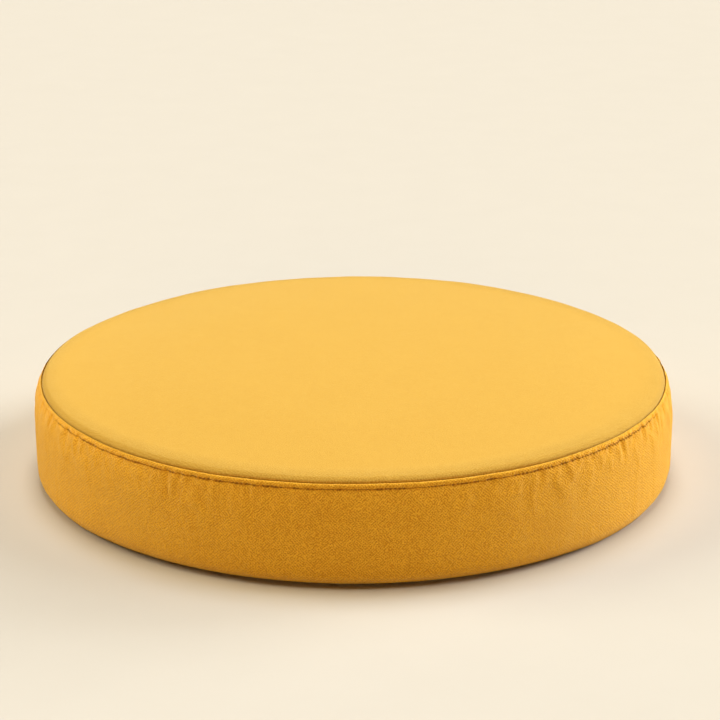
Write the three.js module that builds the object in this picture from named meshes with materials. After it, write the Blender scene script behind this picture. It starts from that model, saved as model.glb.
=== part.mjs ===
// A round boxed seat cushion, lying flat on its base. Millimetres, +Z up.
// The origin is the middle of the flat underside. The front is -Y and the right is +X.
// A round top panel and a round base panel are sewn to a filled side band. The sewn edge of
// the band is turned down and topstitched, which leaves a narrow ridge under the top seam.

import * as THREE from 'three';

// Driving sizes
const widestRadius = 300; // the band stands out to here
const widestHeight = 42.6; // and is widest at this height
const seamRadius = 292; // top seam, where the top panel meets the band
const seamHeight = 93.3;
const shoulderWidth = 21; // the top rolls down to its seam over this width
const shoulderDrop = 8.7;
const shoulderRoll = 2.2; // power of the shoulder's curve
const crownRise = 5.8; // the middle of the top above the start of the shoulder
const upperDrawIn = 5.6; // power of the band's curve up to the top seam
const lowerDrawIn = 10; // power of the band's curve down to the base seam
const ridgeHeight = 4.9; // turned-down edge, from the top seam to the topstitching
const ridgeSwell = 0.8; // how far the ridge and the band stand out beside the stitch line
const ridgeRound = 1.5; // rounding of the ridge's two edges
const baseFlatRadius = 278; // the base rests on the floor inside this circle
const baseSeamRadius = 291.5; // base seam, tucked under the band
const baseSeamHeight = 3.8; // and lifted off the floor by the base panel's soft edge
const clothThickness = 2;
const pieceGap = 0.3; // clear space between pieces that are sewn to each other
const turnsAround = 148; // straight steps in a full circle

const shoulderRadius = seamRadius - shoulderWidth;
const panelRadius = seamRadius - pieceGap;
const stitchHeight = seamHeight - ridgeHeight;
const widestToSeam = seamHeight - widestHeight;
const widestToBase = widestHeight - baseSeamHeight;
const basePanelRadius = baseSeamRadius - pieceGap;

// Rings of points on the top and on the band.
const topRadii = [140, shoulderRadius, 279, 286];
const bandHeights = [7, 15.4, widestHeight, 61, 73, 81.1];

// Soft pleats of the band where it is eased into the top seam. The angle is in degrees from
// the front towards the right, the length runs down from the stitch line.
const bandPleats = [
  { angle: -74.3, width: 26, depth: 1.3, length: 22 },
  { angle: -65.3, width: 24, depth: 1.6, length: 26 },
  { angle: -56.3, width: 26, depth: 1.4, length: 30 },
  { angle: -47.3, width: 22, depth: 0.9, length: 20 },
  { angle: -31.5, width: 22, depth: 1.7, length: 34 },
  { angle: -22.5, width: 26, depth: 1.0, length: 24 },
  { angle: -15.8, width: 20, depth: 0.8, length: 30 },
  { angle: 4.5, width: 26, depth: 0.5, length: 18 },
  { angle: 22.5, width: 24, depth: 0.7, length: 16 },
  { angle: 31.5, width: 24, depth: 0.9, length: 22 },
  { angle: 40.5, width: 22, depth: 1.0, length: 20 },
  { angle: 51.8, width: 22, depth: 1.8, length: 32 },
  { angle: 60.8, width: 26, depth: 1.3, length: 24 },
  { angle: 67.5, width: 20, depth: 1.7, length: 22 },
  { angle: 76.5, width: 24, depth: 1.4, length: 20 },
  { angle: 94.5, width: 26, depth: 1.2, length: 24 },
  { angle: 108.0, width: 24, depth: 1.5, length: 28 },
  { angle: 123.8, width: 26, depth: 0.9, length: 20 },
  { angle: 144.0, width: 24, depth: 1.2, length: 26 },
  { angle: 162.0, width: 26, depth: 0.8, length: 20 },
  { angle: 184.5, width: 24, depth: 1.1, length: 24 },
  { angle: 204.8, width: 26, depth: 0.7, length: 18 },
  { angle: 225.0, width: 24, depth: 1.4, length: 28 },
  { angle: 243.0, width: 26, depth: 1.0, length: 22 },
  { angle: 261.0, width: 24, depth: 1.3, length: 24 },
];

// Slow rise and fall of the top seam around the cushion, in whole waves per turn.
const seamWaves = [
  { waves: 3, height: 0.3, phase: 40 },
  { waves: 7, height: 0.2, phase: 110 },
];

const radians = (degrees) => (degrees * Math.PI) / 180;
const clamp01 = (value) => Math.min(1, Math.max(0, value));

// Height of the top surface: a low crown, then the shoulder that rolls down to the seam.
function topHeight(radius) {
  if (radius < shoulderRadius) {
    return seamHeight + shoulderDrop + crownRise * (1 - (radius / shoulderRadius) ** 2);
  }
  const over = (radius - shoulderRadius) / shoulderWidth;
  return seamHeight + shoulderDrop * (1 - over ** shoulderRoll);
}

// Height of a surface that lies this depth under the top surface, square to it.
function underTop(radius, depth) {
  const slope = (topHeight(radius) - topHeight(radius + 0.01)) / 0.01;
  return topHeight(radius) - depth * Math.hypot(1, slope);
}

// How far the base panel has lifted off the floor towards its seam.
function baseLift(radius) {
  return (baseSeamHeight * (radius - baseFlatRadius)) / (basePanelRadius - baseFlatRadius);
}

// Radius of the band: nearly upright, drawn in quickly at the top seam and at the base seam.
function bandRadius(height) {
  if (height > widestHeight) {
    const up = (height - widestHeight) / widestToSeam;
    return widestRadius - (widestRadius - seamRadius) * up ** upperDrawIn;
  }
  const down = (widestHeight - height) / widestToBase;
  return widestRadius - (widestRadius - baseSeamRadius) * down ** lowerDrawIn;
}

// Inward depth of the pleats at one place on the band. A pleat is deepest at the stitch line.
function pleatDepth(angle, height) {
  const below = stitchHeight - height;
  let depth = 0;
  for (const pleat of bandPleats) {
    const apart = angle - radians(pleat.angle);
    const turn = Math.atan2(Math.sin(apart), Math.cos(apart));
    const aside = (turn * widestRadius) / (pleat.width / 2);
    const fade = below < 0 ? 1 + below / ridgeHeight : 1 - below / pleat.length;
    depth += pleat.depth * Math.exp(-(aside ** 2)) * clamp01(fade);
  }
  return depth;
}

function seamLift(angle) {
  let lift = 0;
  for (const wave of seamWaves) {
    lift += wave.height * Math.sin(wave.waves * angle + radians(wave.phase));
  }
  return lift;
}

// A profile of [radius, height] points turned about the Z axis, from the middle of the
// underside round to the middle of the top. The move function then shifts each point.
function turned(profile, move) {
  const points = profile.map(([radius, height]) => new THREE.Vector2(radius, height));
  const geometry = new THREE.LatheGeometry(points, turnsAround);
  geometry.rotateX(Math.PI / 2);
  const places = geometry.attributes.position;
  for (let index = 0; index < places.count; index += 1) {
    const x = places.getX(index);
    const y = places.getY(index);
    const angle = Math.atan2(x, -y);
    const [radius, height] = move(Math.hypot(x, y), places.getZ(index), angle);
    places.setXYZ(index, radius * Math.sin(angle), -radius * Math.cos(angle), height);
  }
  geometry.computeVertexNormals();
  return geometry;
}

// The top seam's rise and fall dies out inwards over the shoulder and down the band.
function followSeam(radius, height, angle) {
  const inward = clamp01((radius - shoulderRadius) / shoulderWidth);
  const down = clamp01((height - widestHeight) / widestToSeam);
  return [radius, height + seamLift(angle) * inward * down];
}

// The band follows the seam too, and its outer face has the pleats.
function followBand(radius, height, angle) {
  const [, lifted] = followSeam(radius, height, angle);
  const onFace = radius > seamRadius + 1;
  return [onFace ? radius - pleatDepth(angle, height) : radius, lifted];
}

const stayPut = (radius, height) => [radius, height];

// Top panel: one sheet, its upper face crowned and its edge brought down to the seam.
function topPanelProfile() {
  const radii = [0, ...topRadii, panelRadius];
  const under = radii.map((radius) => [radius, underTop(radius, clothThickness)]);
  const over = radii.map((radius) => [radius, topHeight(radius)]);
  return [...under, ...over.reverse()];
}

// Base panel: one flat sheet whose edge lifts a little off the floor at the base seam.
function basePanelProfile() {
  return [
    [0, 0],
    [baseFlatRadius, 0],
    [basePanelRadius, baseSeamHeight],
    [basePanelRadius, baseSeamHeight + clothThickness],
    [baseFlatRadius, clothThickness],
    [0, clothThickness],
  ];
}

// Side band with the filling behind it, as one solid between the two panels.
function filledBandProfile() {
  const overBase = clothThickness + pieceGap;
  const underside = [
    [0, overBase],
    [baseFlatRadius, overBase],
    [baseSeamRadius, overBase + baseLift(baseSeamRadius)],
    [baseSeamRadius, baseSeamHeight],
  ];
  const side = bandHeights.map((height) => [bandRadius(height), height]);
  const ridgeFoot = stitchHeight - ridgeRound;
  const ridge = [
    [bandRadius(ridgeFoot), ridgeFoot],
    [bandRadius(stitchHeight) - ridgeSwell, stitchHeight],
    [bandRadius(stitchHeight), stitchHeight + ridgeRound],
    [seamRadius + ridgeRound, seamHeight],
    [seamRadius, seamHeight - pieceGap],
  ];
  const upperRadii = [seamRadius, ...topRadii.toReversed(), 0];
  const upperside = upperRadii.map((radius) => [radius, underTop(radius, overBase)]);
  return [...underside, ...side, ...ridge, ...upperside];
}

function clothMaterial(colour) {
  return new THREE.MeshStandardMaterial({ color: colour, roughness: 0.95, metalness: 0 });
}

function piece(name, geometry, colour) {
  const mesh = new THREE.Mesh(geometry, clothMaterial(colour));
  mesh.name = name;
  return mesh;
}

const cushion = new THREE.Group();
cushion.add(
  piece('top_panel', turned(topPanelProfile(), followSeam), '#f0b64b'),
  piece('filled_side_band', turned(filledBandProfile(), followBand), '#dd9d33'),
  piece('base_panel', turned(basePanelProfile(), stayPut), '#dd9d33'),
);

export default cushion;
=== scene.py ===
import math

import bmesh
import bpy
import numpy as np
from mathutils import Euler, Matrix, Vector


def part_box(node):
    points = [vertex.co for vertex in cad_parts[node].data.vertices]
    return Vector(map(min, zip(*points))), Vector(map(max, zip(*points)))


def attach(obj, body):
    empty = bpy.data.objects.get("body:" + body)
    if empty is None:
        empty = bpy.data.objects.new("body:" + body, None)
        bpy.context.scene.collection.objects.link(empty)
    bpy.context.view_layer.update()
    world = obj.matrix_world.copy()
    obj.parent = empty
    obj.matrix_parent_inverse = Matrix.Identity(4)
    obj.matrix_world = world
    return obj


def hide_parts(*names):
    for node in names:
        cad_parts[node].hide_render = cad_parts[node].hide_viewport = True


# A round boxed seat cushion: top panel, filled side band, base panel and the topstitching.
# Sizes are in millimetres unless a note says otherwise. Angles go round from the front (-Y)
# towards the right (+X), in degrees in the tables and in radians in the functions.

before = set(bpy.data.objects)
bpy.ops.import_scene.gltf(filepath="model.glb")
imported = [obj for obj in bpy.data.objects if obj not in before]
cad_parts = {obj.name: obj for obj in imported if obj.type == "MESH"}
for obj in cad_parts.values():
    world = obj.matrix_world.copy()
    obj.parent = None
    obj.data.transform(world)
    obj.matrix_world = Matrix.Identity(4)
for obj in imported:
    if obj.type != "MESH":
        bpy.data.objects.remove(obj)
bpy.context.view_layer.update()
mm = 0.001
fullTurn = 2 * math.pi

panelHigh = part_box("top_panel")[1] / mm
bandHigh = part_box("filled_side_band")[1] / mm
print("frame loaded:", sorted(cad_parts))


# The cushion's section as measured, and what follows from it

section = {
    "seamGap": 0.3,  # open slot between a panel and the band
    "seamHeight": 93.3,
    "shoulderWidth": 21.0,  # the top slopes down towards its seam over this width
    "shoulderDrop": 2.4,
    "shoulderCurve": 2.0,  # power of that curve, as in the other curves
    "rollWidth": 5.5,  # just before the seam it rolls over
    "rollDrop": 3.9,
    "rollCurve": 2.6,
    "widestHeight": 42.6,
    "upperLean": 3.6,  # the band leans in by this much up to the topstitching
    "upperCurve": 3.0,
    "sideLean": 1.0,  # and by this much more at the left and right
    "sideCurve": 5.0,
    "sides": (0.45, 0.88),  # left and right begin and are full here, as shares of the radius
    "edgeHeight": 3.6,  # lower edge of the band as drawn, which lowerEdge brings nearer the floor
    "edgeInset": 7.9,  # it lies this far inside the widest place
    "lowerCurve": 11.0,
    "edgeReach": 20.0,  # the lower edge's rise and fall is felt this far up
    "ridgeHeight": 5.6,  # turned-down edge, from the seam to the topstitching
    "slotDepth": 6.0,  # pocket in the filling that takes the top panel's edge
    "clothThickness": 1.6,
    "baseFlatRadius": 278.0,
    "baseRimWidth": 10.8,  # the base panel lifts off the floor over this width
    "slumpBand": (160.0, 280.0),  # the top's edge begins to sink, and is fully sunk, at these radii
    "slumpRim": 2.4,  # over this width, just inside the panel's rim, the sinking dies out again
}
seamHeight = section["seamHeight"]
stitchHeight = seamHeight - section["ridgeHeight"]
widestHeight = section["widestHeight"]
edgeHeight = section["edgeHeight"]
widestRadius = bandHigh.x
seamRadius = panelHigh.x + section["seamGap"]
shoulderRadius = seamRadius - section["shoulderWidth"]
crownRise = panelHigh.z - seamHeight - section["shoulderDrop"] - section["rollDrop"]
underCloth = section["clothThickness"] + section["seamGap"]


def ramp(value, start, end):
    share = np.clip((value - start) / (end - start), 0, 1)
    return share * share * (3 - 2 * share)


def topHeight(radius):
    crown = 1 - min(radius / shoulderRadius, 1) ** 2
    over = max((radius - shoulderRadius) / section["shoulderWidth"], 0)
    rolled = max((radius - seamRadius) / section["rollWidth"] + 1, 0)
    shoulder = section["shoulderDrop"] * (1 - over ** section["shoulderCurve"])
    roll = section["rollDrop"] * (1 - rolled ** section["rollCurve"])
    return seamHeight + crownRise * crown + shoulder + roll


def underTop(radius, depth):
    # Height of a surface that lies this deep under the top, measured square to it
    step = 0.01
    slope = (topHeight(radius) - topHeight(radius + step)) / step
    return topHeight(radius) - depth * math.hypot(1, slope)


def bandRadius(height):
    up = np.clip((height - widestHeight) / (stitchHeight - widestHeight), 0, None)
    down = np.clip((widestHeight - height) / (widestHeight - edgeHeight), 0, None)
    leaning = section["upperLean"] * up ** section["upperCurve"]
    return widestRadius - leaning - section["edgeInset"] * down ** section["lowerCurve"]


def sideShare(angle):
    return ramp(np.abs(np.sin(angle)), *section["sides"])


def sideLean(height, angle):
    up = np.clip((height - widestHeight) / (stitchHeight - widestHeight), 0, 1)
    return section["sideLean"] * sideShare(angle) * up ** section["sideCurve"]


def runLengths(profile):
    steps = [math.dist(here, there) for here, there in zip(profile, profile[1:])]
    return np.concatenate([[0.0], np.cumsum(steps)])


# A strip of cloth is laid out flat as a grid, then rolled round the cushion's axis

def placesOf(mesh):
    places = np.empty(len(mesh.vertices) * 3)
    mesh.vertices.foreach_get("co", places)
    return places.reshape(-1, 3)


def ringPlaces(radius, height, angle):
    return np.stack([radius * np.sin(angle), -radius * np.cos(angle), height], 1) * mm


def rolledStrip(name, profile, steps, shapeIt=None, flatMap=False):
    bm = bmesh.new()
    bm.loops.layers.uv.new("cloth")
    bmesh.ops.create_grid(bm, x_segments=steps, y_segments=len(profile) - 1, size=0.5, calc_uvs=True)
    mesh = bpy.data.meshes.new(name)
    bm.to_mesh(mesh)
    flat = placesOf(mesh)
    ring = np.rint((flat[:, 1] + 0.5) * (len(profile) - 1)).astype(int)
    angle = flat[:, 0] * fullTurn
    radius, height = np.array(profile, float)[ring].T
    along = runLengths(profile)[ring]
    if shapeIt:
        radius, height = shapeIt(radius, height, angle, along)
    places = ringPlaces(radius, height, angle)

    # Weave map in metres: round the strip and along it, or straight from above for a panel
    corner = np.empty(len(mesh.loops), int)
    mesh.loops.foreach_get("vertex_index", corner)
    spots = np.stack([angle[corner] * widestRadius, along[corner]], 1) * mm
    if flatMap:
        spots = places[corner, :2]
    mesh.uv_layers["cloth"].uv.foreach_set("vector", spots.ravel())
    mesh.vertices.foreach_set("co", places.ravel())

    bm.clear()
    bm.from_mesh(mesh)
    bmesh.ops.remove_doubles(bm, verts=bm.verts[:], dist=0.02 * mm)  # closes the back and the middle
    bmesh.ops.recalc_face_normals(bm, faces=bm.faces[:])
    for face in bm.faces:
        face.smooth = True
    bm.to_mesh(mesh)
    bm.free()
    piece = bpy.data.objects.new(name, mesh)
    bpy.context.collection.objects.link(piece)
    return piece


# Slow rise and fall of the top seam around the cushion
seamWaves = [  # whole waves in a turn, height, phase
    (3, 0.30, 40),
    (7, 0.20, 110),
    (19, 0.12, 15),
    (43, 0.08, 200),
]

# How far the lower edge stands off the floor: less than 1 mm at the sides, most in front
lowerEdge = [  # angle, height
    (-180, 2.0), (-140, 1.2), (-100, 0.8), (-68, 0.7), (-55, 1.3), (-46, 2.7), (-36, 3.2), (-15, 3.2),
    (0, 2.9), (25, 2.8), (38, 2.3), (46, 1.0), (60, 0.6), (100, 1.0), (150, 2.2), (180, 2.0),
]

# How far the edge of the top has sunk below its full height
slump = [  # angle, depth
    (-180, 0.0), (-167, 1.0), (-151, 1.4), (-141, 2.1), (-132, 3.0), (-120, 3.3), (-110, 2.7), (-90, 1.9),
    (-60, 2.4), (60, 2.4), (90, 0.9), (105, 0.4), (118, 1.2), (140, 1.2), (155, 0.5), (180, 0.0),
]


def slumpAt(radius, angle):
    rim = np.clip((seamRadius - section["seamGap"] - radius) / section["slumpRim"], 0, 1)
    return np.interp(np.degrees(angle), *np.array(slump).T) * (ramp(radius, *section["slumpBand"]) * rim)


def waves(table, angle):
    return sum(size * np.sin(count * angle + math.radians(phase)) for count, size, phase in table)


def inwardShare(radius):
    return np.clip((radius - shoulderRadius) / section["shoulderWidth"], 0, 1)


def edgeLift(radius, height, angle):
    # Brings the rim of the base panel and the foot of the band to the lower edge's height
    rim = np.clip((radius - section["baseFlatRadius"]) / section["baseRimWidth"], 0, 1) ** 2
    low = np.clip(1 - (height - edgeHeight) / section["edgeReach"], 0, 1) ** 2
    return (np.interp(np.degrees(angle), *np.array(lowerEdge).T) - edgeHeight) * rim * low


# Side band

bandLook = {
    "steps": 1482,  # three to a stitch
    "stitches": 494,
    "stitchPull": 0.18,  # depth of the groove under the thread
    "needlePull": 0.25,  # and of each needle hole, on top of it
    "stitchWidth": 0.9,
    "needleShare": 0.2,  # share of a stitch's pitch, each side of a hole, that is pulled in with it
    "creaseBanks": 0.35,  # share of a crease's depth that stands up beside it
    "bankPlace": 1.7,  # half widths from the middle of the crease
    "creaseRunOut": 3.5,  # a crease dies out this far above the stitch line
    "joinDepth": 0.7,  # the strip's ends are joined at the back
    "joinWidth": 1.6,
    "rippleAbove": 2.0,  # the turned-down edge ripples most this far above the stitch line
    "rippleReach": 3.0,
    "crinkled": 1.5,  # how much more it ripples on the right
    "crinkledSide": (0.4, 0.7),  # the right begins and is full here, as shares of the radius
    "colour": (1.0, 0.53, 0.038, 1),
    "deepColour": (0.75, 0.31, 0.014, 1),
    "ribDepth": 0.18,
    "ribTint": 1.0,  # share of the colour change that the weave takes
    "cloudTint": 0.5,
    "flatWeave": 1.0,  # how much of the weave shows away from the edge
}

# Creases of the band where it is eased into the top seam, set one by one
bandCreases = [  # angle, width, depth, length, lean in mm to the right at the lower end
    (-77.5, 7, 0.7, 14, 0), (-72.7, 6, 1.0, 18, 1), (-69.6, 5, 0.7, 12, 0), (-66.0, 6, 1.2, 20, -1),
    (-63.4, 5, 0.6, 14, 0), (-58.4, 8, 1.1, 34, 1), (-54.4, 6, 1.2, 24, 1), (-49.6, 6, 0.6, 14, 0),
    (-45.8, 5, 0.5, 12, 0), (-41.6, 9, 0.8, 26, -1), (-36.9, 6, 0.4, 12, 0), (-31.8, 6, 1.4, 34, 1),
    (-29.3, 5, 0.8, 14, 0), (-26.9, 8, 0.9, 22, 1), (-23.9, 5, 0.6, 18, 0), (-20.8, 4, 0.4, 34, 1),
    (-17.1, 5, 0.8, 40, 0), (-13.5, 5, 0.4, 12, 0), (-6.2, 9, 0.3, 14, 1), (1.5, 8, 0.3, 12, 0),
    (5.5, 7, 0.4, 18, -1), (14.6, 8, 0.5, 14, 0), (22.6, 7, 0.7, 16, 1), (27.4, 5, 0.4, 12, 0),
    (31.7, 7, 0.7, 22, 1), (36.6, 8, 0.7, 20, 2), (39.5, 5, 0.5, 14, 0), (43.2, 5, 0.5, 16, 1),
    (48.0, 6, 1.2, 18, 1), (51.6, 6, 1.5, 30, 4), (55.6, 6, 0.8, 18, 0), (59.3, 8, 1.2, 20, 0),
    (62.5, 5, 0.8, 16, 1), (66.3, 5, 1.4, 20, 1), (71.1, 6, 1.3, 15, 1), (74.5, 6, 0.8, 18, 0),
    (79.0, 7, 0.8, 16, 0), (84.5, 6, 1.0, 20, 0), (90.8, 7, 0.7, 26, 1), (97.0, 6, 1.2, 22, 0),
    (103.4, 8, 0.8, 18, -1), (108.1, 5, 1.0, 28, 0), (115.2, 7, 0.6, 14, 0), (121.0, 6, 0.9, 24, 1),
    (128.8, 8, 0.5, 18, 0), (134.4, 6, 1.1, 20, 0), (139.0, 5, 0.6, 14, 1), (147.3, 7, 0.9, 30, 0),
    (155.1, 6, 0.5, 16, 0), (163.2, 8, 0.8, 20, -1), (171.0, 6, 0.6, 14, 0), (-172.4, 7, 0.9, 24, 0),
    (-165.5, 6, 0.6, 16, 0), (-157.9, 8, 1.0, 22, 1), (-150.2, 5, 0.5, 14, 0), (-143.6, 7, 1.2, 30, 0),
    (-136.7, 6, 0.7, 18, 0), (-129.9, 8, 0.9, 20, -1), (-122.3, 5, 0.6, 14, 0), (-115.6, 7, 1.1, 26, 1),
    (-108.0, 6, 0.7, 18, 0), (-100.9, 7, 1.0, 22, 0), (-94.2, 6, 0.8, 16, 0), (-86.0, 7, 0.9, 22, 0),
]

# Fine unevenness of the turned-down edge
ridgeRipples = [  # whole waves in a turn, size, phase
    (61, 0.10, 20),
    (97, 0.09, 130),
    (141, 0.08, 250),
    (203, 0.07, 70),
    (271, 0.06, 310),
    (347, 0.05, 160),
]

turnedEdge = [  # out from the band at the stitch line, up from the stitch line
    (0.35, -1.7), (0.17, -1.0), (0.02, -0.5), (-0.1, 0.0), (-0.12, 0.6), (-0.15, 1.2), (-0.2, 1.9),
    (-0.3, 2.6), (-0.5, 3.25), (-0.85, 3.8), (-1.25, 4.15), (-1.65, 4.3), (-2.05, 4.3), (-2.4, 4.1),
    (-2.7, 3.65), (-2.9, 2.8), (-2.95, 1.3),
]


def bandProfile():
    underside = [(0, underCloth), (180, underCloth), (270, underCloth), (289.0, underCloth + 3.9)]
    lowerLip = [(289.9, 1.1), (290.6, 0.5), (291.5, 0.1), (292.6, 0.0), (293.9, 0.25)]
    heights = [4.4, 5.4, 6.6, 8.0, 10, 12.5, 15, 18.5, 22, 26, 30, 34, 38, 42, 46, 50, 54, 57.5, 61, 64, 67,
               69.5, 72, 74, 76, 77.5, 79, 80.3, 81.5, 82.6, 83.6, 84.5]
    foot = bandRadius(stitchHeight)
    lip = [(radius, edgeHeight + up) for radius, up in lowerLip]
    face = [(bandRadius(height), height) for height in heights]
    ridge = [(foot + out, stitchHeight + up) for out, up in turnedEdge]
    slot = [(radius, seamHeight - section["slotDepth"]) for radius in (292.7, 290.4)]
    underPanel = [(radius, underTop(radius, underCloth)) for radius in (288.2, 285, 279, 271, 180, 80, 0)]
    return underside + lip + face + ridge + slot + underPanel


def stitchRun(profile):
    # How far along the strip the stitch line lies
    foot = bandRadius(stitchHeight)
    apart = [math.dist(point, (foot, stitchHeight)) for point in profile]
    return runLengths(profile)[int(np.argmin(apart))]


def creaseDepth(angle, below):
    depth = np.zeros_like(angle)
    for place, width, deep, length, lean in bandCreases:
        apart = (angle - math.radians(place) + math.pi) % fullTurn - math.pi
        across = (apart * widestRadius - lean * below / length) / (width / 2)
        banks = np.exp(-((np.abs(across) - bandLook["bankPlace"]) ** 2))
        trough = np.exp(-across ** 2) - bandLook["creaseBanks"] * banks
        fade = np.clip(1 - np.maximum(below, 0) / length, 0, 1) ** 2
        fade = fade * np.clip(1 + below / bandLook["creaseRunOut"], 0, 1)
        depth += deep * trough * fade
    return depth


bandSewing = {  # the cloth is cut a little longer than its seam, and puckers as it is sewn in
    "steps": 600,
    "rings": 24,
    "cutRadius": 299.8,
    "seed": 11,
    "unevenness": 0.05,  # height of the small waves that the strip starts with
    "unevenBelow": 8.0,  # they are highest this far below the stitch line
    "unevenSpread": 12.0,
    "unevenWaves": 30,
    "waveCounts": (50, 150),  # whole waves in a turn
    "creaseShare": 0.5,  # share of the creases' depth that is pressed in beforehand
    "fineSteps": 400,
    "sewnBy": 12,  # frame
    "settledBy": 20,
    "quality": 6,
    "mass": 0.15,
    "pressure": 16.0,
    "tension": 100.0,
    "bending": 3.0,
    "damping": 5.0,
    "furthest": 1.3,  # no pucker is taken deeper or higher than this
    "share": 0.5,  # share of the puckers' depth that is kept under the seam
    "lowerShare": 0.3,  # and how much of that is kept lower down
    "lowerBand": (14.0, 42.0),  # lower down begins and is reached this far below the stitch line
}


def sewBand():
    # A plain strip stands as it was cut. Its two edges are then drawn in to the seams, and the
    # cloth between them buckles into small puckers. Gives how far each point moved in or out.
    steps, rings = bandSewing["steps"], bandSewing["rings"]
    heights = np.linspace(stitchHeight, edgeHeight, bandSewing["fineSteps"])
    fine = [(bandRadius(height), height) for height in heights]
    travelled = runLengths(fine)
    marks = np.linspace(0, travelled[-1], rings)
    radii, levels = (np.interp(marks, travelled, values) for values in np.array(fine).T)

    bm = bmesh.new()
    bmesh.ops.create_grid(bm, x_segments=steps, y_segments=rings - 1, size=0.5)
    mesh = bpy.data.meshes.new("bandBeingSewn")
    bm.to_mesh(mesh)
    bm.free()
    flat = placesOf(mesh)
    angle = flat[:, 0] * fullTurn
    ring = np.rint((flat[:, 1] + 0.5) * (rings - 1)).astype(int)
    column = np.rint((flat[:, 0] + 0.5) * steps).astype(int) % steps

    chance = np.random.default_rng(bandSewing["seed"])
    counts = chance.integers(*bandSewing["waveCounts"], bandSewing["unevenWaves"])
    phases = chance.uniform(0, fullTurn, bandSewing["unevenWaves"])
    uneven = sum(np.sin(count * angle + phase) for count, phase in zip(counts, phases))
    lower = (marks[ring] - bandSewing["unevenBelow"]) / bandSewing["unevenSpread"]
    uneven = uneven * bandSewing["unevenness"] * np.exp(-lower ** 2)
    uneven -= creaseDepth(angle, marks[ring]) * bandSewing["creaseShare"]
    uneven[(ring == 0) | (ring == rings - 1)] = 0

    cut = ringPlaces(bandSewing["cutRadius"] + uneven, seamHeight - marks[ring], angle)
    sewn = ringPlaces(radii[ring] + uneven, levels[ring], angle)
    mesh.vertices.foreach_set("co", cut.ravel())
    strip = bpy.data.objects.new("bandBeingSewn", mesh)
    bpy.context.collection.objects.link(strip)
    strip.shape_key_add(name="cut")
    sewnKey = strip.shape_key_add(name="sewn")
    sewnKey.data.foreach_set("co", sewn.ravel())
    sewnKey.value = 0
    sewnKey.keyframe_insert("value", frame=1)
    sewnKey.value = 1
    sewnKey.keyframe_insert("value", frame=bandSewing["sewnBy"])
    held = strip.vertex_groups.new(name="held")
    atBack = np.abs(flat[:, 0]) > 0.4999
    edges = (ring == 0) | (ring == rings - 1) | atBack
    held.add(np.flatnonzero(edges).tolist(), 1.0, "REPLACE")

    cloth = strip.modifiers.new("cloth", "CLOTH")
    cloth.collision_settings.use_collision = False
    cloth.point_cache.frame_end = bandSewing["settledBy"]
    settings = cloth.settings
    settings.quality = bandSewing["quality"]
    settings.mass = bandSewing["mass"]
    settings.vertex_group_mass = "held"
    settings.tension_stiffness = settings.compression_stiffness = bandSewing["tension"]
    settings.shear_stiffness = bandSewing["tension"] / 4
    settings.bending_stiffness = bandSewing["bending"]
    settings.tension_damping = settings.compression_damping = bandSewing["damping"]
    settings.shear_damping = bandSewing["damping"]
    settings.use_pressure = True
    settings.uniform_pressure_force = bandSewing["pressure"]
    settings.effector_weights.gravity = 0
    for frameNumber in range(1, bandSewing["settledBy"] + 1):
        bpy.context.scene.frame_set(frameNumber)
    settled = strip.evaluated_get(bpy.context.evaluated_depsgraph_get())
    places = placesOf(settled.data) / mm
    bpy.context.scene.frame_set(1)
    bpy.data.objects.remove(strip)

    field = np.zeros((rings, steps))
    field[ring, column] = np.hypot(places[:, 0], places[:, 1]) - radii[ring]
    field -= np.median(field, axis=1, keepdims=True)  # the section itself stays as measured
    return marks, np.clip(field, -bandSewing["furthest"], bandSewing["furthest"])


def puckerAt(sewnIn, angle, below):
    # The sewn-in field, read between its points: a smooth curve round the band, straight down it
    if sewnIn is None:
        return np.zeros_like(angle)
    marks, field = sewnIn
    rings, steps = field.shape
    fine = 8
    smooth = np.fft.irfft(np.fft.rfft(field, axis=1), n=steps * fine, axis=1) * fine
    column = np.rint((angle / fullTurn + 0.5) * steps * fine).astype(int) % (steps * fine)
    level = np.interp(np.clip(below, 0, marks[-1]), marks, np.arange(rings))
    lower = np.minimum(level.astype(int), rings - 2)
    share = ramp(level - lower, 0, 1)
    value = smooth[lower, column] * (1 - share) + smooth[lower + 1, column] * share
    dying = 1 - (1 - bandSewing["lowerShare"]) * ramp(below, *bandSewing["lowerBand"])
    return value * bandSewing["share"] * dying * (below > 0)


def bandMove(sewnIn, angle, below):
    # Everything that moves the band in or out except the stitches
    backward = (math.pi - np.abs(angle)) * widestRadius
    join = bandLook["joinDepth"] * np.exp(-(backward / bandLook["joinWidth"]) ** 2)
    crinkle = 1 + bandLook["crinkled"] * ramp(np.sin(angle), *bandLook["crinkledSide"])
    above = (below + bandLook["rippleAbove"]) / bandLook["rippleReach"]
    ripple = waves(ridgeRipples, angle) * crinkle * np.exp(-above ** 2)
    return puckerAt(sewnIn, angle, below) - creaseDepth(angle, below) - join + ripple


def stitchPull(angle, below):
    phase = (angle / fullTurn * bandLook["stitches"]) % 1
    nearHole = np.exp(-(np.minimum(phase, 1 - phase) / bandLook["needleShare"]) ** 2)
    across = np.exp(-(below / bandLook["stitchWidth"]) ** 2)
    return across * (bandLook["stitchPull"] + bandLook["needlePull"] * nearHole)


def seamLift(radius, height, angle):
    down = np.clip((height - widestHeight) / (seamHeight - widestHeight), 0, 1)
    return waves(seamWaves, angle) * down * inwardShare(radius)


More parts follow.
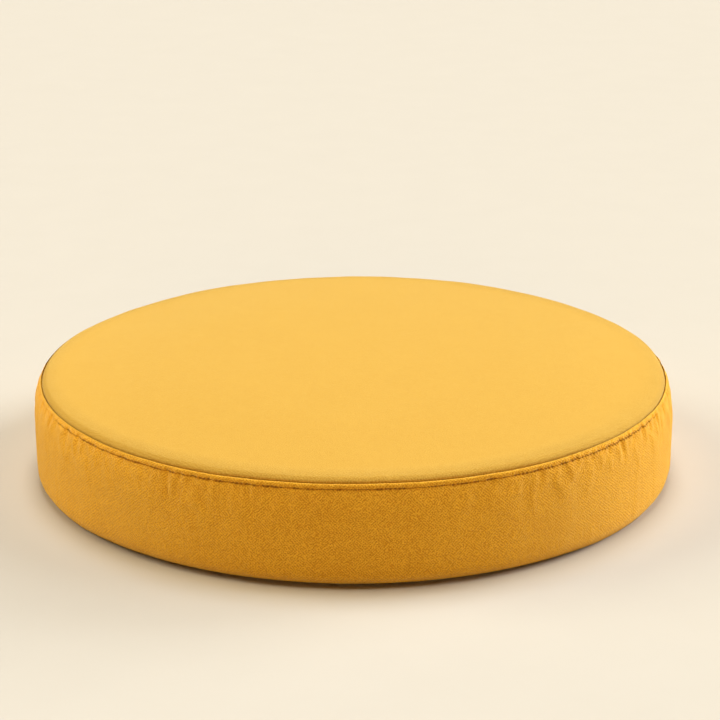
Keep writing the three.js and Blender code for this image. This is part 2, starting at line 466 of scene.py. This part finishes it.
def makeSideBand(sewnIn):
    profile = bandProfile()
    stitchAlong = stitchRun(profile)
    sideFoot = bandRadius(stitchHeight) - section["sideLean"]

    def shapeIt(radius, height, angle, along):
        # At the left and right the turned-down edge lies flat, straight from its foot to the seam
        below = stitchAlong - along
        outer = (radius > seamRadius + 0.4) & (height > edgeHeight + 0.5)  # the face that shows
        radius = radius - outer * (below >= 0) * sideLean(height, angle)
        straight = np.interp(height, (stitchHeight, seamHeight), (sideFoot, seamRadius))
        flatter = np.minimum(straight, radius) - radius
        radius = radius + outer * (below < 0) * flatter * sideShare(angle)
        moved = bandMove(sewnIn, angle, below) - stitchPull(angle, below)
        lifted = seamLift(radius, height, angle) + edgeLift(radius, height, angle)
        lifted -= (height > widestHeight) * slumpAt(radius, angle)
        return radius + outer * moved, height + lifted

    return rolledStrip("sideBand", profile, bandLook["steps"], shapeIt)


# Topstitching: one thread span from needle hole to needle hole, all round the stitch line

threadLook = {
    "radius": 0.55,
    "span": 0.66,  # share of a stitch's pitch that shows
    "sunk": 0.26,  # how far the thread's middle lies under the band's face
    "slant": 5.0,  # degrees
    "slantUneven": 9.0,
    "uneven": 0.28,  # how far one stitch sits from the next, in or out
    "endSink": 1.0,  # the stitches go under at the left and right
    "ends": (0.84, 0.95),  # left and right begin and are full here, as shares of the radius
    "seed": 4,
    "roughness": 0.8,
    "specular": 0.2,
    "shadeScale": 160.0,
    "shadeNoise": (0.35, 0.65),  # readings of the noise that give the darkest and palest thread
    "colour": (0.52, 0.21, 0.006, 1),
    "deepColour": (0.32, 0.12, 0.003, 1),
}


def makeTopstitching(sewnIn):
    count = bandLook["stitches"]
    pitch = fullTurn / count
    foot = bandRadius(stitchHeight)
    bm = bmesh.new()
    size = (pitch * foot * threadLook["span"] / 2, threadLook["radius"], threadLook["radius"], 1)
    lyingDown = Matrix.Rotation(math.pi / 2, 4, "Y")
    bmesh.ops.create_uvsphere(bm, u_segments=6, v_segments=6, radius=1,
                              matrix=Matrix.Diagonal(size) @ lyingDown)
    bmesh.ops.translate(bm, verts=bm.verts[:], vec=(0, -foot, 0))
    oneStitch = len(bm.verts)
    made = 1
    while made < count:  # each pass copies all the stitches so far to beyond the last one
        more = min(made, count - made) * oneStitch
        bm.verts.index_update()
        bm.verts.ensure_lookup_table()
        chosen = bm.verts[:more] + [face for face in bm.faces if face.verts[0].index < more]
        copied = bmesh.ops.duplicate(bm, geom=chosen)
        fresh = [item for item in copied["geom"] if isinstance(item, bmesh.types.BMVert)]
        bmesh.ops.rotate(bm, verts=fresh, cent=(0, 0, 0), matrix=Matrix.Rotation(made * pitch, 3, "Z"))
        made += more // oneStitch
    for face in bm.faces:
        face.smooth = True
    mesh = bpy.data.meshes.new("topstitchThread")
    bm.to_mesh(mesh)
    bm.free()

    # Each stitch is slanted and set a little unevenly, then laid on the band's face
    places = placesOf(mesh)
    around = np.arctan2(places[:, 0], -places[:, 1])
    number = np.floor(around / pitch + 0.5).astype(int)
    aside = (around - number * pitch) * foot
    out = np.hypot(places[:, 0], places[:, 1]) - foot
    chance = np.random.default_rng(threadLook["seed"])
    slants = threadLook["slant"] + chance.uniform(-1, 1, count) * threadLook["slantUneven"]
    slants = np.radians(slants)[number]
    out = out - threadLook["sunk"] + (chance.uniform(-1, 1, count) * threadLook["uneven"])[number]
    up = places[:, 2] * np.cos(slants) - aside * np.sin(slants)
    angle = (number + 0.5) * pitch + (aside * np.cos(slants) + places[:, 2] * np.sin(slants)) / foot
    radius = foot + out + bandMove(sewnIn, angle, np.zeros_like(angle)) - sideLean(stitchHeight, angle)
    radius -= threadLook["endSink"] * ramp(np.abs(np.sin(angle)), *threadLook["ends"])
    height = stitchHeight + up + seamLift(radius, np.full_like(radius, stitchHeight), angle)
    mesh.vertices.foreach_set("co", ringPlaces(radius, height, angle).ravel())
    piece = bpy.data.objects.new("topstitchThread", mesh)
    bpy.context.collection.objects.link(piece)
    return piece


# Top panel

# The top panel is the same cloth as the band. Its colours are set darker than the band's as painted shade,
# offsetting the stronger light that falls on the top.
topLook = {
    "steps": 496,
    "colour": (0.60, 0.358, 0.056, 1),
    "deepColour": (0.515, 0.286, 0.036, 1),
    "ribDepth": 0.10,
    "ribTint": 0.45,
    "cloudTint": 0.22,
    "flatWeave": 0.4,
}

topSwells = [  # soft unevenness of the top: middle x, middle y, width, height
    (-90, -120, 110, 0.5), (60, -170, 90, -0.4), (170, -40, 100, 0.5), (-190, 20, 90, -0.4),
    (20, 30, 120, 0.4), (120, 150, 110, -0.4), (-80, 170, 100, 0.4), (-20, -230, 60, 0.3),
    (200, -150, 60, -0.3), (-210, -120, 60, 0.3),
]


def topProfile():
    inner = [0, 12, 30, 50, 70, 90, 110, 130, 150, 170, 188, 204, 218, 230, 240, 248, 255, 261, 266]
    shoulder = [270, 273.5, 277, 280, 282.5, 284.5, 286.2, 287.5, 288.5, 289.3]
    over = [(radius, topHeight(radius)) for radius in inner + shoulder]
    rolledUnder = [(289.95, 2.67), (290.67, 1.38), (291.23, 0.05), (291.58, -1.2), (291.7, -2.3),
                   (291.5, -3.3), (291.1, -4.1), (290.6, -4.5)]
    edge = [(radius, seamHeight + up) for radius, up in rolledUnder]
    inside = (inner + shoulder)[::-1]
    under = [(radius, underTop(radius, section["clothThickness"])) for radius in inside]
    return (over + edge + under)[::-1]


def shapeTop(radius, height, angle, along):
    x, y = radius * np.sin(angle), -radius * np.cos(angle)
    swell = sum(size * np.exp(-((x - middleX) ** 2 + (y - middleY) ** 2) / width ** 2)
                for middleX, middleY, width, size in topSwells)
    inward = inwardShare(radius)
    height = height + swell * (1 - inward) + waves(seamWaves, angle) * inward
    return radius, height - slumpAt(radius, angle)


def makeTopPanel():
    return rolledStrip("topPanel", topProfile(), topLook["steps"], shapeTop, flatMap=True)


# Base panel

baseLook = {
    "steps": 248,
}


def shapeBase(radius, height, angle, along):
    return radius, height + edgeLift(radius, height, angle)


def makeBasePanel():
    thick = section["clothThickness"]
    flat = section["baseFlatRadius"]
    under = [(0, 0), (90, 0), (180, 0), (245, 0), (flat, 0), (281.0, 0.4), (284.0, 1.2), (286.6, 2.3),
             (288.4, 3.6)]
    over = [(288.8, 4.4), (288.3, 5.2), (284.0, 3.3), (flat, thick), (180, thick), (0, thick)]
    return rolledStrip("basePanel", under + over, baseLook["steps"], shapeBase, flatMap=True)


# Materials

clothLook = {
    "roughness": 0.92,
    "specular": 0.2,
    "wale": 1.95,  # from one diagonal rib to the next
    "wander": 2.0,  # how far a rib strays
    "wanderScale": 240.0,
    "sideWidening": 0.2,  # the weave is drawn wider towards the sides than in front and behind
    "patchScale": 100.0,  # patches where the falling or the rising ribs show more
    "patchContrast": 4.0,
    "patchShares": (0.25, 0.75),
    "moreFalling": 0.6,  # for each metre to the right
    "fuzzScale": 900.0,
    "fuzzContrast": 9.0,
    "fuzzRoughness": 0.7,
    "cloudScale": 20.0,
    "smallCloudScale": 130.0,
    "sheenWeight": 0.45,
    "sheenRoughness": 0.3,
    "sheenTint": (1.0, 0.88, 0.42, 1.0),
    "edgeBand": (268, 287),  # the weave comes up to its full strength between these radii
    "endWeave": 0.55,  # share of the weave that shows at the far left and right
    "endBand": (170, 290),  # it comes down to that between these distances from the middle
    "holeSize": 0.9,
    "holeOpenings": (0.35, 1.5),  # the least and the most opened, as shares of that size
    "holeScale": 140.0,
    "holeNoise": (0.36, 0.62),  # readings of the noise that give those two
    "holeEdge": (0.3, 1.1),  # full colour within the first and none beyond the second, in sizes
    "holeAlong": (0.55, 1.05),  # how narrow a hole is along the line, in front and on the right
    "holeAcross": (1.0, 0.5),  # and across it
    "holeSlant": (120, 220),  # the holes come to slant between these distances to the right
    "holeEnds": (250, 285),  # and shrink to almost nothing between these, on both sides
    "holeEndSize": 0.05,
    "holeDepth": 0.35,
    # painted shade inside the needle holes
    "holeShadeColour": (0.34, 0.12, 0.003, 1),
    "grooveShadeWidth": 2.6,  # painted shade: darkened to each side of the stitch line, standing in for the shade in the stitches' groove
    "grooveShadeShare": 0.3,
    "grooveShadeColour": (0.70, 0.26, 0.005, 1),
    "foldHighlightFrom": 2.8,  # the fold of the turned-down edge is painted paler from here up: a painted highlight where it faces the light from above
    "foldHighlightTo": 3.8,
    "foldHighlightShare": 0.15,
    "foldHighlightColour": (1.0, 0.70, 0.07, 1),
}


def newNode(tree, kind, **settings):
    node = tree.nodes.new(kind)
    for name, value in settings.items():
        setattr(node, name, value)
    return node


def plug(tree, node, name, value):
    socket = node.inputs[name]
    if isinstance(value, bpy.types.NodeSocket):
        tree.links.new(value, socket)
    else:
        socket.default_value = value


def maths(tree, operation, first, second=0.0, third=0.0):
    node = newNode(tree, "ShaderNodeMath", operation=operation)
    for index, value in enumerate((first, second, third)):
        plug(tree, node, index, value)
    return node.outputs[0]


def vectorMaths(tree, operation, first, second=(0, 0, 0), third=(0, 0, 0), output="Vector"):
    node = newNode(tree, "ShaderNodeVectorMath", operation=operation)
    for index, value in enumerate((first, second, third)):
        plug(tree, node, index, value)
    return node.outputs[output]


def noise(tree, vector, scale, detail=2.0, roughness=0.5, output="Fac"):
    node = newNode(tree, "ShaderNodeTexNoise")
    plug(tree, node, "Vector", vector)
    plug(tree, node, "Scale", scale)
    plug(tree, node, "Detail", detail)
    plug(tree, node, "Roughness", roughness)
    return node.outputs[output]


def rescale(tree, value, lowest, highest, newLowest=0.0, newHighest=1.0):
    node = newNode(tree, "ShaderNodeMapRange", interpolation_type="SMOOTHSTEP")
    for index, number in enumerate((value, lowest, highest, newLowest, newHighest)):
        plug(tree, node, index, number)
    return node.outputs[0]


def between(tree, share, low, high):
    return maths(tree, "MULTIPLY_ADD", share, high - low, low)


def contrasted(tree, value, contrast):
    # Stretches a noise, which lies about 0.5, by the contrast and brings it to lie about 0
    return maths(tree, "MULTIPLY_ADD", value, contrast, -contrast / 2)


def mixColour(tree, share, first, second):
    node = newNode(tree, "ShaderNodeMix", data_type="RGBA")
    plug(tree, node, 0, share)
    plug(tree, node, 6, first)
    plug(tree, node, 7, second)
    return node.outputs[2]


def axes(tree, vector):
    split = newNode(tree, "ShaderNodeSeparateXYZ")
    tree.links.new(vector, split.inputs[0])
    return split.outputs


def needleHoles(tree, weaveMap, places, stitchAlong):
    # Gives 1 in the pricks along the stitch line and 0 elsewhere. They run along the line in
    # front, slant across it on the right, and are opened unevenly by the pull of the thread.
    spot = axes(tree, weaveMap)
    place = axes(tree, places)
    pitch = fullTurn * widestRadius * mm / bandLook["stitches"]
    slantFrom, slantFull = clothLook["holeSlant"]
    slant = rescale(tree, place["X"], slantFrom * mm, slantFull * mm)
    beyond = maths(tree, "SUBTRACT", spot["Y"], stitchAlong * mm)
    aside = maths(tree, "PINGPONG", maths(tree, "MULTIPLY_ADD", beyond, slant, spot["X"]), pitch / 2)
    aside = maths(tree, "MULTIPLY", aside, between(tree, slant, *clothLook["holeAlong"]))
    beyond = maths(tree, "MULTIPLY", beyond, between(tree, slant, *clothLook["holeAcross"]))
    squared = maths(tree, "ADD", maths(tree, "POWER", aside, 2.0), maths(tree, "POWER", beyond, 2.0))
    apart = maths(tree, "POWER", squared, 0.5)
    opened = noise(tree, places, clothLook["holeScale"])
    opened = rescale(tree, opened, *clothLook["holeNoise"], *clothLook["holeOpenings"])
    endFrom, endFull = clothLook["holeEnds"]
    endFade = rescale(tree, maths(tree, "ABSOLUTE", place["X"]), endFrom * mm, endFull * mm,
                      1.0, clothLook["holeEndSize"])
    size = maths(tree, "MULTIPLY", maths(tree, "MULTIPLY", opened, endFade), clothLook["holeSize"] * mm)
    return rescale(tree, maths(tree, "DIVIDE", apart, size), *clothLook["holeEdge"], 1.0, 0.0)


def clothMaterial(name, look, stitchAlong=None):
    material = bpy.data.materials.new(name)
    material.use_nodes = True
    tree = material.node_tree
    shader = tree.nodes["Principled BSDF"]
    shader.inputs["Roughness"].default_value = clothLook["roughness"]
    shader.inputs["Specular IOR Level"].default_value = clothLook["specular"]
    shader.inputs["Sheen Weight"].default_value = clothLook["sheenWeight"]
    shader.inputs["Sheen Roughness"].default_value = clothLook["sheenRoughness"]
    shader.inputs["Sheen Tint"].default_value = clothLook["sheenTint"]

    # Diagonal ribs both ways in small patches, a little more of the falling ones on the right
    places = newNode(tree, "ShaderNodeTexCoord").outputs["Object"]
    fromMiddle = axes(tree, places)["X"]
    weaveMap = newNode(tree, "ShaderNodeUVMap", uv_map="cloth").outputs["UV"]
    stray = noise(tree, places, clothLook["wanderScale"], detail=1.0, output="Color")
    spot = axes(tree, vectorMaths(tree, "MULTIPLY_ADD", stray, (clothLook["wander"] * mm,) * 3, weaveMap))
    turns = fullTurn / (clothLook["wale"] * math.sqrt(2) * mm)
    widening, half = clothLook["sideWidening"], widestRadius * mm / 2
    swing = maths(tree, "SINE", maths(tree, "DIVIDE", spot["X"], half))
    even = maths(tree, "MULTIPLY", spot["X"], 1 - widening)
    across = maths(tree, "MULTIPLY_ADD", swing, widening * half, even)
    falling = maths(tree, "SINE", maths(tree, "MULTIPLY", maths(tree, "ADD", across, spot["Y"]), turns))
    rising = maths(tree, "SINE", maths(tree, "MULTIPLY", maths(tree, "SUBTRACT", across, spot["Y"]), turns))
    patchy = contrasted(tree, noise(tree, places, clothLook["patchScale"]), clothLook["patchContrast"])
    sideways = maths(tree, "MULTIPLY_ADD", fromMiddle, clothLook["moreFalling"], 0.5)
    share = rescale(tree, maths(tree, "ADD", sideways, patchy), 0.0, 1.0, *clothLook["patchShares"])
    ribs = maths(tree, "ADD", maths(tree, "MULTIPLY", falling, share),
                 maths(tree, "MULTIPLY", rising, maths(tree, "SUBTRACT", 1.0, share)))
    fuzz = noise(tree, places, clothLook["fuzzScale"], roughness=clothLook["fuzzRoughness"])
    fuzz = contrasted(tree, fuzz, clothLook["fuzzContrast"])
    inner, outer = clothLook["edgeBand"]
    endFrom, endFull = clothLook["endBand"]
    ends = rescale(tree, maths(tree, "ABSOLUTE", fromMiddle), endFrom * mm, endFull * mm,
                   1.0, clothLook["endWeave"])
    fromAxis = vectorMaths(tree, "LENGTH", vectorMaths(tree, "MULTIPLY", places, (1, 1, 0)), output="Value")
    shown = rescale(tree, fromAxis, inner * mm, outer * mm, look["flatWeave"], 1.0)
    surface = maths(tree, "MULTIPLY", maths(tree, "ADD", ribs, fuzz), maths(tree, "MULTIPLY", shown, ends))
    clouds = noise(tree, places, clothLook["cloudScale"], detail=3.0, roughness=0.6)
    cloudy = maths(tree, "ADD", clouds, noise(tree, places, clothLook["smallCloudScale"], detail=1.0))
    tinted = maths(tree, "MULTIPLY_ADD", surface, look["ribTint"], 0.5 - look["cloudTint"])
    mottled = maths(tree, "MULTIPLY_ADD", cloudy, look["cloudTint"], tinted)
    colour = mixColour(tree, mottled, look["deepColour"], look["colour"])
    if stitchAlong:
        beyond = maths(tree, "SUBTRACT", axes(tree, weaveMap)["Y"], stitchAlong * mm)
        # Painted highlight: the fold of the turned-down edge, which faces up, is made paler to stand in for
        # the light it catches
        paintedFoldHighlight = rescale(tree, beyond, clothLook["foldHighlightFrom"] * mm, clothLook["foldHighlightTo"] * mm,
                       0.0, clothLook["foldHighlightShare"])
        colour = mixColour(tree, paintedFoldHighlight, colour, clothLook["foldHighlightColour"])
        # Painted shade: a soft dark stripe each side of the stitch line, standing in for the shade in the
        # stitches' groove
        paintedGrooveShade = rescale(tree, maths(tree, "ABSOLUTE", beyond), 0.0, clothLook["grooveShadeWidth"] * mm,
                         clothLook["grooveShadeShare"], 0.0)
        colour = mixColour(tree, paintedGrooveShade, colour, clothLook["grooveShadeColour"])
        # Painted shade: the needle holes are coloured dark, standing in for the shade inside them; the same
        # mask also presses the bump in
        holes = needleHoles(tree, weaveMap, places, stitchAlong)
        colour = mixColour(tree, holes, colour, clothLook["holeShadeColour"])
        surface = maths(tree, "MULTIPLY_ADD", holes, -clothLook["holeDepth"] / look["ribDepth"], surface)

    bump = newNode(tree, "ShaderNodeBump")
    bump.inputs["Strength"].default_value = 1.0
    bump.inputs["Distance"].default_value = look["ribDepth"] * mm
    tree.links.new(surface, bump.inputs["Height"])
    tree.links.new(bump.outputs["Normal"], shader.inputs["Normal"])
    tree.links.new(colour, shader.inputs["Base Color"])
    return material


def threadMaterial():
    material = bpy.data.materials.new("topstitchOchre")
    material.use_nodes = True
    tree = material.node_tree
    shader = tree.nodes["Principled BSDF"]
    shader.inputs["Roughness"].default_value = threadLook["roughness"]
    shader.inputs["Specular IOR Level"].default_value = threadLook["specular"]
    places = newNode(tree, "ShaderNodeTexCoord").outputs["Object"]
    shade = rescale(tree, noise(tree, places, threadLook["shadeScale"]), *threadLook["shadeNoise"])
    colour = mixColour(tree, shade, threadLook["deepColour"], threadLook["colour"])
    tree.links.new(colour, shader.inputs["Base Color"])
    return material


room = {  # a wide pale floor, lengths in metres
    "floorRadii": (0, 0.5, 1.5, 4.0, 9.0),
    "steps": 96,
    "floorColour": (0.52, 0.49, 0.44, 1),
    "floorLight": (0.54, 0.51, 0.46, 1),
    "roughness": 0.9,
    "specular": 0.1,
    "shadeScale": 14.0,
    "surround": (0.92, 0.83, 0.72, 1),  # seen behind the floor's far edge; it lights nothing
}


def floorMaterial():
    material = bpy.data.materials.new("paleFloor")
    material.use_nodes = True
    tree = material.node_tree
    shader = tree.nodes["Principled BSDF"]
    shader.inputs["Roughness"].default_value = room["roughness"]
    shader.inputs["Specular IOR Level"].default_value = room["specular"]
    places = newNode(tree, "ShaderNodeTexCoord").outputs["Object"]
    shade = noise(tree, places, room["shadeScale"], detail=5.0, roughness=0.6)
    colour = mixColour(tree, shade, room["floorColour"], room["floorLight"])
    tree.links.new(colour, shader.inputs["Base Color"])
    return material


# Camera, lights and floor

shot = {  # where the photograph was taken from, lengths in metres
    "distance": 2.109,
    "elevation": 21.11,
    "edgeHeight": 0.0036,  # the camera's height was measured from the band's lower edge
    "pitch": 18.62,
    "yaw": -0.188,
    "roll": 0.04,
    "lens": 110.0,  # mm
    "sensor": 36.0,
}


def makeCamera():
    data = bpy.data.cameras.new("camera")
    data.lens = shot["lens"]
    data.sensor_width = shot["sensor"]
    camera = bpy.data.objects.new("camera", data)
    rise = math.radians(shot["elevation"])
    height = shot["distance"] * math.sin(rise) + shot["edgeHeight"]
    camera.location = (0, -shot["distance"] * math.cos(rise), height)
    turn = (90 - shot["pitch"], shot["roll"], shot["yaw"])
    camera.rotation_euler = Euler([math.radians(degrees) for degrees in turn])
    bpy.context.collection.objects.link(camera)
    bpy.context.scene.camera = camera


lamps = [  # name, direction it shines from, apparent width in degrees, strength, colour
    ("overhead", (0, 0, 2.6), 30, 1.66, (1.0, 0.80, 0.52)),
    ("overheadBack", (0, 0.9, 2.6), 25, 1.44, (0.74, 0.84, 1.0)),
    ("left", (-2.2, 0.6, 1.6), 35, 1.92, (1.0, 0.94, 0.73)),
    ("right", (2.2, 0.6, 1.6), 35, 1.54, (0.98, 1.0, 0.99)),
    ("lowBackRight", (2.2, 1.4, 0.9), 28, 2.41, (0.98, 1.0, 0.99)),
    ("lowFront", (0, -2.4, 0.42), 16, 0.80, (1.0, 0.74, 0.36)),
]


def makeLamps():
    for name, direction, width, strength, colour in lamps:
        data = bpy.data.lights.new(name, "SUN")
        data.angle = math.radians(width)
        data.energy = strength
        data.color = colour
        lamp = bpy.data.objects.new(name, data)
        lamp.location = direction
        lamp.rotation_euler = (-Vector(direction)).to_track_quat("-Z", "Y").to_euler()
        bpy.context.collection.objects.link(lamp)


def makeRoom():
    floor = rolledStrip("floor", [(radius / mm, 0) for radius in room["floorRadii"]], room["steps"])
    floor.data.materials.append(floorMaterial())
    surround = bpy.data.worlds.new("paleSurround")
    surround.use_nodes = True
    surround.node_tree.nodes["Background"].inputs["Color"].default_value = room["surround"]
    surround.cycles_visibility.diffuse = False
    surround.cycles_visibility.glossy = False
    bpy.context.scene.world = surround
    bpy.context.scene.view_settings.view_transform = "Standard"


makeCamera()
makeLamps()
makeRoom()
print("camera, lamps and floor placed")

sewnIn = sewBand()
print("band sewn in:", "skipped" if sewnIn is None else "%.2f mm deep at most" % np.abs(sewnIn[1]).max())

sideBand = makeSideBand(sewnIn)
bandCloth = clothMaterial("bandCloth", bandLook, stitchRun(bandProfile()))
sideBand.data.materials.append(bandCloth)
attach(sideBand, "root")
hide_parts("filled_side_band")
print("side band rolled")

topPanel = makeTopPanel()
topPanel.data.materials.append(clothMaterial("topCloth", topLook))
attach(topPanel, "root")
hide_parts("top_panel")
print("top panel laid")

basePanel = makeBasePanel()
basePanel.data.materials.append(bandCloth)
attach(basePanel, "root")
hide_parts("base_panel")
print("base panel laid")

topstitching = makeTopstitching(sewnIn)
topstitching.data.materials.append(threadMaterial())
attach(topstitching, "root")
print("topstitching sewn")
